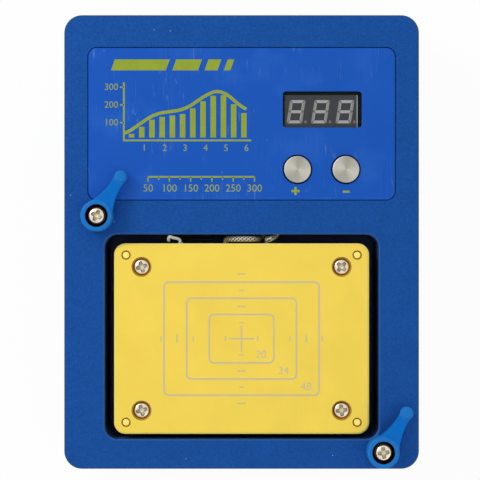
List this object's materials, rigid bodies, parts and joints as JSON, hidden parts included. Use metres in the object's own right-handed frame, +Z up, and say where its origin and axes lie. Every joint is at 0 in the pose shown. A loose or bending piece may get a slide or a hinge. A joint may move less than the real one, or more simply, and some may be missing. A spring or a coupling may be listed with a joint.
{
  "type": "circuit board preheater",
  "caption": "Flat aluminium hot-plate preheater for circuit boards: inset control panel with display and buttons, heating plate in an open well, sprung swivel clamps.",
  "frame": {"origin": "on the table under the middle of the housing, at the height of the feet's undersides", "axes": "+Z up, +Y from the heating plate to the control panel and the rear wall, +X to the right"},
  "size_m": [0.11, 0.1411, 0.0441],
  "materials": {
    "anodised_blue": "bead-blasted, anodised blue",
    "panel_blue": "satin blue inset plate",
    "rubber_black": "matte",
    "zinc_steel": "zinc plated",
    "black_steel": "matte black",
    "gold_anodised": "bead-blasted, anodised gold",
    "pin_gold": "turned",
    "nickel_screw": "nickel plated",
    "heater_foil": "rolled sheath",
    "fibre_pad": "pressed ceramic fibre",
    "white_lead": "glass-fibre sleeve",
    "glass_braid": "braided glass-fibre sleeve",
    "clamp_blue": "moulded",
    "spring_steel": "drawn wire",
    "spun_aluminium": "spun face",
    "black_plastic": "moulded",
    "display_face": "matte",
    "display_bars": "unlit diffuser",
    "board_green": "solder mask",
    "brass": "plain",
    "black_anodised": "anodised black",
    "fuse_glass": "clear",
    "yellow_plastic": "moulded",
    "green_plastic": "moulded",
    "white_plastic": "moulded",
    "wire_brown": "extruded",
    "wire_blue": "extruded",
    "wire_green_yellow": "extruded"
  },
  "bodies": {
    "base": {"housing": "anodised_blue", "bottom_cover": "anodised_blue", "control_panel": "panel_blue", "rubber_feet": "rubber_black", "foot_screws": "zinc_steel", "pillar_screws": "zinc_steel", "display_board_screws": "zinc_steel", "power_board_screws": "zinc_steel", "inlet_screws": "zinc_steel", "inlet_nuts": "zinc_steel", "earth_screw": "zinc_steel", "heater_pillars": "zinc_steel", "backing_plate": "zinc_steel", "fuse_clips": "zinc_steel", "heat_shield_tray": "black_steel", "heating_plate": "gold_anodised", "locating_pins": "pin_gold", "plate_screws": "nickel_screw", "rear_clamp_screw": "nickel_screw", "front_clamp_screw": "nickel_screw", "temperature_probe": "nickel_screw", "heater_element": "heater_foil", "insulation_pad": "fibre_pad", "probe_lead": "white_lead", "heater_lead_left": "glass_braid", "heater_lead_right": "glass_braid", "key_switch_bodies": "black_plastic", "microcontroller": "black_plastic", "power_converter": "black_plastic", "triac": "black_plastic", "board_link_header": "black_plastic", "mains_inlet": "black_plastic", "power_switch_body": "black_plastic", "display_module": "display_face", "display_bars": "display_bars", "display_board": "board_green", "power_board": "board_green", "power_board_pillars": "brass", "inlet_contacts": "brass", "switch_contacts": "brass", "triac_heat_sink": "black_anodised", "fuse": "fuse_glass", "filter_capacitor": "yellow_plastic", "heater_terminal_block": "green_plastic", "mains_terminal_block": "green_plastic", "probe_connector": "white_plastic", "live_wire": "wire_brown", "switched_wire": "wire_brown", "neutral_wire": "wire_blue", "earth_wire": "wire_green_yellow"},
    "rear_clamp_coil": {"rear_clamp_spring": "spring_steel"},
    "rear_clamp": {"rear_clamp_lever": "clamp_blue"},
    "front_clamp_coil": {"front_clamp_spring": "spring_steel"},
    "front_clamp": {"front_clamp_lever": "clamp_blue"},
    "plus_key": {"plus_button": "spun_aluminium", "plus_switch_stem": "black_plastic"},
    "minus_key": {"minus_button": "spun_aluminium", "minus_switch_stem": "black_plastic"},
    "rocker": {"power_rocker": "black_plastic"}
  },
  "joints": [
    {"name": "rear_clamp_swivel", "type": "hinge", "parent": "base", "child": "rear_clamp_coil", "pos_m": [-0.0445, 0.0081, 0.036], "axis": [0, 0, 1], "continuous": true},
    {"name": "rear_clamp_lift", "type": "slide", "parent": "rear_clamp_coil", "child": "rear_clamp", "axis": [0, 0, 1], "range_m": [0, 0.002], "stiffness_N_per_m": 2900, "springref_m": -0.0015, "deforming": ["rear_clamp_spring"]},
    {"name": "front_clamp_swivel", "type": "hinge", "parent": "base", "child": "front_clamp_coil", "pos_m": [0.0435, -0.0646, 0.036], "axis": [0, 0, 1], "continuous": true},
    {"name": "front_clamp_lift", "type": "slide", "parent": "front_clamp_coil", "child": "front_clamp", "axis": [0, 0, 1], "range_m": [0, 0.002], "stiffness_N_per_m": 2900, "springref_m": -0.0015, "deforming": ["front_clamp_spring"]},
    {"name": "plus_press", "type": "slide", "parent": "base", "child": "plus_key", "axis": [0, 0, -1], "range_m": [0, 0.0006], "stiffness_N_per_m": 1500, "springref_m": -0.0003},
    {"name": "minus_press", "type": "slide", "parent": "base", "child": "minus_key", "axis": [0, 0, -1], "range_m": [0, 0.0006], "stiffness_N_per_m": 1500, "springref_m": -0.0003},
    {"name": "rocker_tilt", "type": "hinge", "parent": "base", "child": "rocker", "pos_m": [0.02, 0.06515, 0.01975], "axis": [0, 0, -1], "range_deg": [0, 12]}
  ]
}
